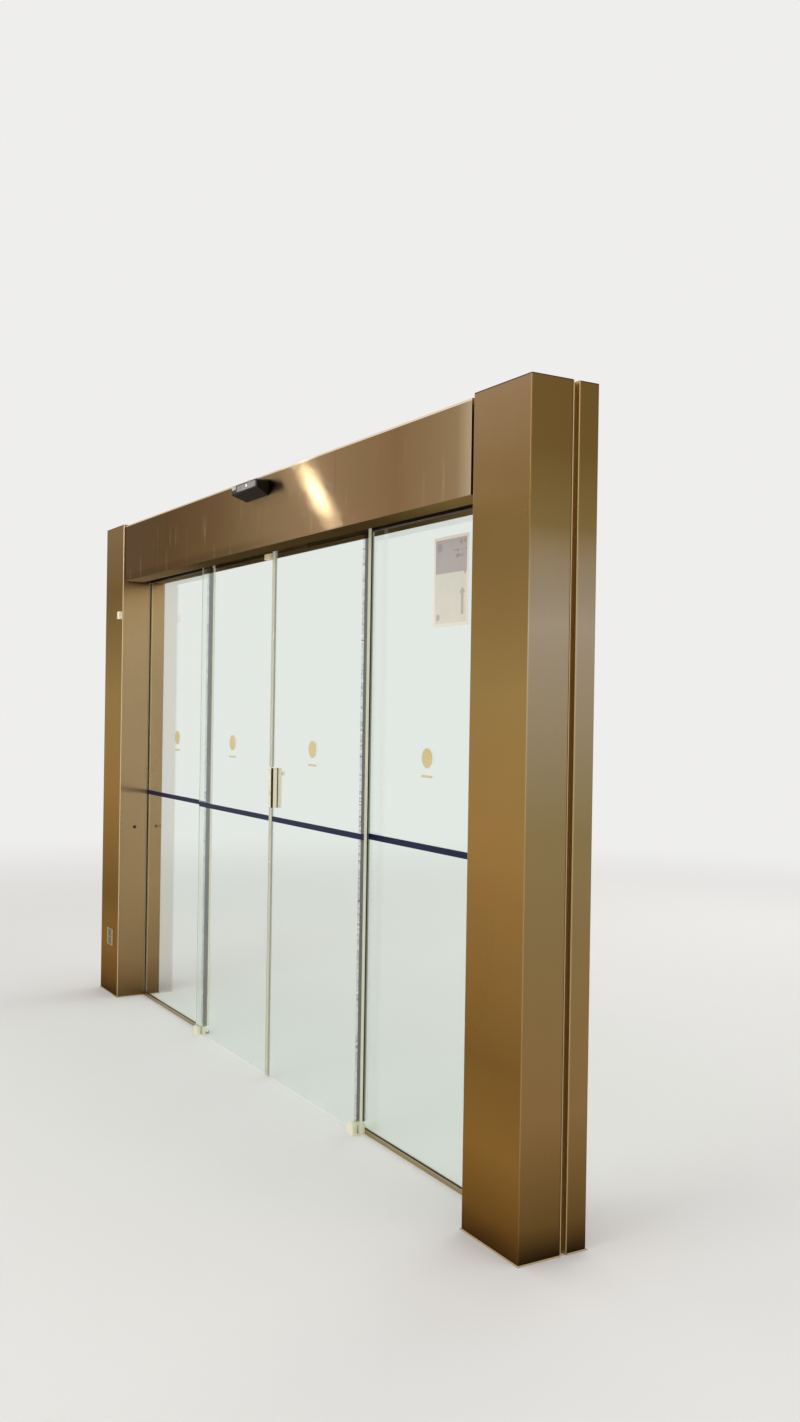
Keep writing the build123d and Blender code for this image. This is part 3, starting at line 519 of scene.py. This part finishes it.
def glass_mark(pane, x, body):
    """A mark on a pane's front face, its middle at x along the doorway."""
    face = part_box(pane)[0].y - mark_gap
    mesh = bmesh.new()
    bmesh.ops.create_circle(mesh, cap_ends=True, segments=64, radius=mark_radius)
    bar = bmesh.ops.create_grid(mesh, x_segments=1, y_segments=1, size=0.5)["verts"]
    bmesh.ops.scale(mesh, vec=(bar_width, bar_height, 1), verts=bar)
    bmesh.ops.translate(mesh, vec=(0, -bar_drop, 0), verts=bar)
    bmesh.ops.rotate(mesh, matrix=to_upright, verts=mesh.verts)
    bmesh.ops.translate(mesh, vec=(x, face, mark_height), verts=mesh.verts)
    thicken(mesh, (0, -mark_film, 0))
    keep(pane + "_mark", mesh, cream_film, body)


glass_mark("left_leaf_glass", -0.419, "left_leaf")
glass_mark("right_leaf_glass", 0.384, "right_leaf")
glass_mark("left_fixed_glass", -1.224, "frame")
glass_mark("right_fixed_glass", 1.178, "frame")


# Floor guides and wheels: moulded nylon. Each guide is fixed through its slot
# with two slotted countersunk screws.

dress(moulded("white_nylon", colour(240, 234, 206), 0.42),
      "left_floor_guide", "right_floor_guide",
      "left_inner_wheel", "left_outer_wheel", "right_inner_wheel", "right_outer_wheel")
screw_steel = plain_metal("screw_steel", (0.60, 0.58, 0.52), 1.0, 0.28, spots=400)


def slotted_screw(name, place, turn, radius, shank, depth):
    """A screw head with a sawn slot, its face at place, turned about X."""
    slot_half, slot_depth = radius * 0.14, depth * 0.4
    mesh = bmesh.new()
    bmesh.ops.create_circle(mesh, cap_ends=True, segments=32, radius=radius)
    for way in (-1, 1):
        cut(mesh, (way * slot_half, 0, 0), (1, 0, 0))
    rim = [edge for edge in mesh.edges if edge.is_boundary]
    sunk = [face for face in mesh.faces if abs(face.calc_center_median().x) < slot_half / 2]
    slot_floor = vertices_in(bmesh.ops.extrude_face_region(mesh, geom=sunk))
    bmesh.ops.delete(mesh, geom=sunk, context="FACES_ONLY")
    bmesh.ops.translate(mesh, vec=(0, 0, -slot_depth), verts=slot_floor)
    rim = [edge for edge in rim if edge.is_valid]
    skirt = vertices_in(bmesh.ops.extrude_edge_only(mesh, edges=rim))
    bmesh.ops.scale(mesh, vec=(shank / radius, shank / radius, 1), verts=skirt)
    bmesh.ops.translate(mesh, vec=(0, 0, -depth), verts=skirt)
    close(mesh)
    bmesh.ops.rotate(mesh, matrix=Matrix.Rotation(turn, 3, "X"), verts=mesh.verts)
    bmesh.ops.translate(mesh, vec=place, verts=mesh.verts)
    keep(name, mesh, screw_steel)


guide_floor, guide_screw_spacing = 0.0058, 0.024
guide_head, guide_shank, guide_head_depth = 0.0040, 0.0022, 0.0020
for side in ("left", "right"):
    low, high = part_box(side + "_floor_guide")
    for number, way in enumerate((-1, 1), 1):
        spot = ((low.x + high.x + way * guide_screw_spacing) / 2, 0, guide_floor)
        slotted_screw(f"{side}_guide_screw_{number}", spot, 0,
                      guide_head, guide_shank, guide_head_depth)


# Lock: a clamped case in satin steel on the right leaf's leading edge, with a
# dark key cylinder and a thumb turn. Its bolt meets a clear keeper on the
# other leaf. The case has painted light at its sides and painted shade in front.

def lock_look(tree):
    """Painted light at its sides, painted shade in front and inside the slot that clamps the
    pane.
    """
    slot_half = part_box("right_leaf_glass")[1].y + 0.0006
    slot = 1 - tree.axis("Y").size().over(slot_half)
    # Painted shade in front and inside the clamping slot, painted light at the sides.
    painted_shade = slot.larger(tree.facing("Y").between(-0.4, -0.8))
    return tree.mix(painted_shade, colour(252, 242, 214), colour(66, 52, 28)), 0.30


small_part_grain = (900, 900, 20)
satin = brushed("satin_steel", lock_look, small_part_grain, upright)
dress(satin, "lock_case", "lock_bolt", "lock_turn")
dress(clear_seal, "lock_keeper")
dress(moulded("lock_black", (0.006, 0.005, 0.004), 0.45, Specular_IOR_Level=0.1),
      "lock_cylinder")


# Sensors: moulded black housings on both sides of the header, each with a
# pale lens at one end, a grey window and a white status lamp in it.

def sensor_tone(tree):
    """Black plastic with its pale lens, duller where dust lies on top."""
    lens_near, lens_far, lens_low, lens_high = 0.026, 0.066, 2.446, 2.463
    dust = tree.facing("Z").between(0.2, 0.9)
    black = tree.mix(dust * 0.5, colour(17, 12, 13), colour(66, 58, 58))
    across = (tree.axis("X") * tree.facing("Y")).within(lens_near, lens_far)
    lens = across * tree.axis("Z").within(lens_low, lens_high)
    flat = tree.facing("Y").size().over(0.95)
    return tree.mix(lens * flat, black, colour(196, 178, 166))


sensor_black, tree = finish("sensor_black")
skin = tree.noise((900, 900, 900))
tree.show(principled(tree, Base_Color=sensor_tone(tree), Roughness=0.32 + (skin - 0.5) * 0.1,
                     Specular_IOR_Level=0.12, Normal=tree.bump(skin, 0.00005)))
dress(sensor_black, "front_sensor", "rear_sensor")
dress(moulded("sensor_window", colour(136, 125, 117), 0.12), "sensor_windows")
status_white, tree = finish("status_white")
glow = tree.noise((400, 400, 400)).between(0.2, 0.8)
tree.show(principled(tree, Base_Color=(0.9, 0.9, 0.9), Roughness=0.2, Emission_Strength=1.0,
                     Emission_Color=tree.mix(glow, (0.85, 0.88, 0.95), (1.0, 1.0, 1.0))))


def status_lamp(name, x, face, way):
    """A small lens that stands out of the window, towards the way it faces."""
    lens_radius, lens_height, lens_z = 0.0045, 0.0008, 2.448
    mesh = bmesh.new()
    bmesh.ops.create_circle(mesh, cap_ends=True, segments=24, radius=lens_radius)
    bmesh.ops.rotate(mesh, matrix=to_upright, verts=mesh.verts)
    bmesh.ops.translate(mesh, vec=(x, face, lens_z), verts=mesh.verts)
    thicken(mesh, (0, way * lens_height, 0))
    keep(name, mesh, status_white)


status_x = 0.083
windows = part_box("sensor_windows")
status_lamp("front_status_lamp", status_x, windows[0].y, -1)
status_lamp("rear_status_lamp", -status_x, windows[1].y, 1)


# Small plastics: the door contact in cream, the contact box with a brown base
# and a cream cap, photocells and socket inserts in black, and the drive's
# control box in grey. All are injection moulded.

dress(moulded("cream_plastic", colour(246, 232, 190), 0.35), "door_contact")
base_share, seam_width = 0.4, 0.001
box_cream, tree = finish("box_cream")
low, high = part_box("contact_box")
cap_start = low.x + base_share * (high.x - low.x)
cap = tree.axis("X").between(cap_start - seam_width, cap_start)
box_tone = tree.mix(cap, colour(120, 92, 52), colour(254, 242, 206))
tree.show(principled(tree, Base_Color=box_tone, Roughness=0.4))
dress(box_cream, "contact_box")
dress(moulded("dark_plastic", (0.02, 0.018, 0.016), 0.25), "photocells", "socket_inserts")
dress(moulded("control_grey", (0.25, 0.26, 0.27), 0.5), "control_unit")


# Socket plate: pressed satin steel, low on the left post's front, fixed with
# two slotted screws.

plate_steel = brushed("plate_steel", lambda tree: (colour(190, 170, 128), 0.26),
                      small_part_grain, upright)
dress(plate_steel, "service_plate")
screw_reach, screw_proud, plate_head, plate_head_depth = 0.038, 0.0008, 0.0034, 0.0016
low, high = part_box("service_plate")
for number, way in enumerate((-1, 1), 1):
    spot = ((low.x + high.x) / 2 + way * screw_reach, low.y - screw_proud, (low.z + high.z) / 2)
    slotted_screw(f"plate_screw_{number}", spot, math.pi / 2,
                  plate_head, plate_head, plate_head_depth)


# Notice: a printed sheet in a clear sleeve, stuck on the right fixed lite. It
# has a pale border, a dusky upper field, an arrow and rows of soft marks.

paper, tree = finish("notice_paper")
low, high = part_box("notice_sheet")
across, height = tree.axis("X") - low.x, tree.axis("Z") - low.z
wide, tall = high.x - low.x, high.z - low.z
border, split = 0.010, 0.59 * tall

smears = tree.noise((14, 14, 14), detail=3.0)
lower_field = tree.mix(smears, colour(222, 214, 198), colour(206, 206, 190))
upper_field = tree.mix(smears, colour(180, 168, 166), colour(168, 158, 152))
tone = tree.mix(height.over(split), lower_field, upper_field)

row_start, row_end = 0.110, wide - 0.012
marks = tree.noise((70, 70, 30)).over(0.5)
for row_low, row_high in ((0.243, 0.250), (0.222, 0.234)):
    row = height.within(row_low, row_high) * across.within(row_start, row_end) * marks
    tone = tree.mix(row * 0.6, tone, colour(122, 108, 106))

for spot_x, spot_z, radius in ((0.035, 0.262, 0.019), (0.165, 0.272, 0.010),
                               (0.188, 0.274, 0.009), (0.190, 0.172, 0.008),
                               (0.028, 0.030, 0.014)):
    aside, above = across - spot_x, height - spot_z
    blot = (aside * aside + above * above).root().between(radius, radius * 0.6)
    tone = tree.mix(blot * 0.5, tone, colour(124, 116, 114))

arrow_x, arrow_low, arrow_high = wide - 0.035, 0.035, 0.105
arrow_half, point_height, point_slope = 0.007, 0.020, 1.2
aside = (across - arrow_x).size()
shaft = (1 - aside.over(arrow_half)) * height.within(arrow_low, arrow_high)
point = (arrow_high + point_height - height).over(aside * point_slope) * height.over(arrow_high)
tone = tree.mix(shaft.larger(point) * 0.6, tone, colour(140, 134, 118))

inside = across.within(border, wide - border) * height.within(border, tall - border)
tone = tree.mix(inside, colour(232, 222, 204), tone)
printed = principled(tree, Base_Color=tone, Roughness=0.35, Coat_Weight=0.4)
tree.show(with_tinted_shadow(tree, printed, (0.94, 0.94, 0.90)))
dress(paper, "notice_sheet")


# Studio: a pale floor that fades into the same pale surroundings, three soft
# boxes, and one small lamp whose streak shows on the header.

pale = (0.86, 0.855, 0.845)
fade_start, fade_end = 4.0, 10.0
floor, tree = finish("studio_floor")
reach = tree.node("ShaderNodeVectorMath", {"operation": "LENGTH"}, {0: tree.place()}, out=1)
near = principled(tree, Base_Color=(0.80, 0.79, 0.77), Roughness=0.9)
far = tree.node("ShaderNodeEmission", {}, {"Color": (*pale, 1)})
tree.show(tree.join(reach.between(fade_start, fade_end), near, far))
bpy.ops.mesh.primitive_plane_add(size=120)
ground = bpy.context.object
ground.name = "studio_ground"
ground.data.materials.append(floor)

world = bpy.data.worlds.new("studio")
bpy.context.scene.world = world
tree = Tree(world)
camera_ray, glossy_ray, passing_ray = [
    tree.node("ShaderNodeLightPath", out=name)
    for name in ("Is Camera Ray", "Is Glossy Ray", "Is Transmission Ray")]
seen = (camera_ray + glossy_ray + passing_ray).smaller(1.0)
tree.show(tree.node("ShaderNodeBackground", {},
                    {"Color": tree.mix(seen, (0.80, 0.795, 0.79), pale), "Strength": 1.0}),
          "ShaderNodeOutputWorld")


def lamp(name, kind, place, power, **settings):
    """A lamp that points at the door's middle."""
    aim = Vector((0, 0, 1.2))
    data = bpy.data.lights.new(name, kind)
    data.energy = power
    for key, value in settings.items():
        setattr(data, key, value)
    made = bpy.data.objects.new(name, data)
    bpy.context.scene.collection.objects.link(made)
    made.location = place
    made.rotation_mode = "QUATERNION"
    made.rotation_quaternion = (aim - Vector(place)).to_track_quat("-Z", "Y")


lamp("front_softbox", "AREA", (1.5, -6.0, 4.5), 110, shape="RECTANGLE", size=4.0, size_y=3.0)
lamp("right_softbox", "AREA", (7.0, 1.5, 4.0), 40, shape="RECTANGLE", size=3.0, size_y=3.0)
lamp("rear_softbox", "AREA", (-2.0, 6.0, 4.0), 65, shape="RECTANGLE", size=4.0, size_y=3.0)
lamp("streak_lamp", "POINT", (-3.545, -2.176, 3.133), 5, shadow_soft_size=0.02,
     color=(0.72, 0.86, 1.0))


# Camera: a hand-held view along the doorway from the right, at eye height.

camera_place = Vector((4.7693, -2.1836, 1.5606))
yaw, pitch, roll = -1.0403, -0.0034, 0.0157
forward = Vector((math.sin(yaw) * math.cos(pitch), math.cos(yaw) * math.cos(pitch),
                  math.sin(pitch)))
right = Vector((math.cos(yaw), -math.sin(yaw), 0))
up = right.cross(forward)
tilted_right = math.cos(roll) * right + math.sin(roll) * up
tilted_up = math.cos(roll) * up - math.sin(roll) * right
data = bpy.data.cameras.new("camera")
data.lens, data.sensor_width = 31.57, 36
data.clip_end = 200
camera = bpy.data.objects.new("camera", data)
bpy.context.scene.collection.objects.link(camera)
turn = Matrix((tilted_right, tilted_up, -forward)).transposed()
camera.matrix_world = Matrix.Translation(camera_place) @ turn.to_4x4()
bpy.context.scene.camera = camera
bpy.context.scene.view_settings.view_transform = "Standard"
